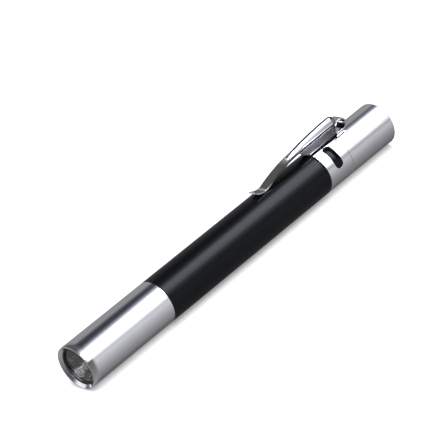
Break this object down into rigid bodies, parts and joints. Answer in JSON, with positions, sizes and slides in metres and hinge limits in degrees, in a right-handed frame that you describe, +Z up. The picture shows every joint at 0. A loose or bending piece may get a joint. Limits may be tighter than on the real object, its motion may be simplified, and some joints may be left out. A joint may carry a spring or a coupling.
{
  "type": "medical penlight",
  "caption": "Slim metal penlight with polished head and tail cap, black barrel, slotted turning ring switch and spring pocket clip; throws a beam from a recessed lens.",
  "frame": {"origin": "bottom centre of the bounding box: under the middle of the body, on the surface it lies on, 7 mm below the body axis", "axes": "+X along the body towards the tail cap (the light shines along -X), +Z up through the middle of the pocket clip, +Y across"},
  "size_m": [0.1326, 0.014, 0.02],
  "materials": {
    "polished_shell": "polished nickel-chrome plate",
    "clip_steel": "polished plated spring steel",
    "black_anodised": "satin black anodising",
    "clear_lens": "polished",
    "reflector_plate": "vacuum-metallised",
    "led_body": "gloss",
    "board": "solder mask",
    "holder_metal": "machined",
    "insulator": "matt",
    "brass": "bright",
    "spring_wire": "drawn wire",
    "rubber": "matt",
    "cell_label": "printed sleeve"
  },
  "bodies": {
    "barrel_body": {"barrel": "black_anodised", "stop_pin": "black_anodised", "contact_pad": "brass", "head_o_ring": "rubber", "front_cell": "cell_label", "rear_cell": "cell_label"},
    "lamp_module": {"lens_seal": "rubber", "lens": "clear_lens", "reflector": "reflector_plate", "led": "led_body", "led_board": "board", "lamp_holder": "holder_metal", "contact_insulator": "insulator", "positive_contact": "brass", "positive_spring": "spring_wire"},
    "head": {"head_shell": "polished_shell"},
    "switch_ring": {"clip_ring": "polished_shell", "contact_leaf": "brass", "spring_washer": "spring_wire", "clip_bracket": "clip_steel"},
    "clip_arm": {"clip": "clip_steel"},
    "tail_stack": {"tail_contact": "brass", "tail_spring": "spring_wire"},
    "tail": {"tail_cap": "polished_shell"}
  },
  "joints": [
    {"name": "head_travel", "type": "slide", "parent": "barrel_body", "child": "lamp_module", "axis": [-1, 0, 0], "range_m": [0, 0.007]},
    {"name": "head_unscrew", "type": "hinge", "parent": "lamp_module", "child": "head", "pos_m": [-0.04945, 0, 0.007], "axis": [-1, 0, 0], "range_deg": [0, 2521]},
    {"name": "ring_turn", "type": "hinge", "parent": "barrel_body", "child": "switch_ring", "pos_m": [0.04105, 0, 0.007], "axis": [1, 0, 0], "range_deg": [0, 42]},
    {"name": "clip_flex", "type": "hinge", "parent": "switch_ring", "child": "clip_arm", "pos_m": [0.0511, 0, 0.01597], "axis": [0, 1, 0], "range_deg": [0, 7], "stiffness_Nm_per_rad": 1, "springref_deg": -0.57},
    {"name": "tail_travel", "type": "slide", "parent": "barrel_body", "child": "tail_stack", "axis": [1, 0, 0], "range_m": [0, 0.007]},
    {"name": "tail_unscrew", "type": "hinge", "parent": "tail_stack", "child": "tail", "pos_m": [0.05655, 0, 0.007], "axis": [1, 0, 0], "range_deg": [0, 2521]}
  ],
  "couplings": [
    {"joint": "head_unscrew", "follows": "head_travel", "rad_per_m": 6283.2},
    {"joint": "tail_unscrew", "follows": "tail_travel", "rad_per_m": 6283.2}
  ]
}
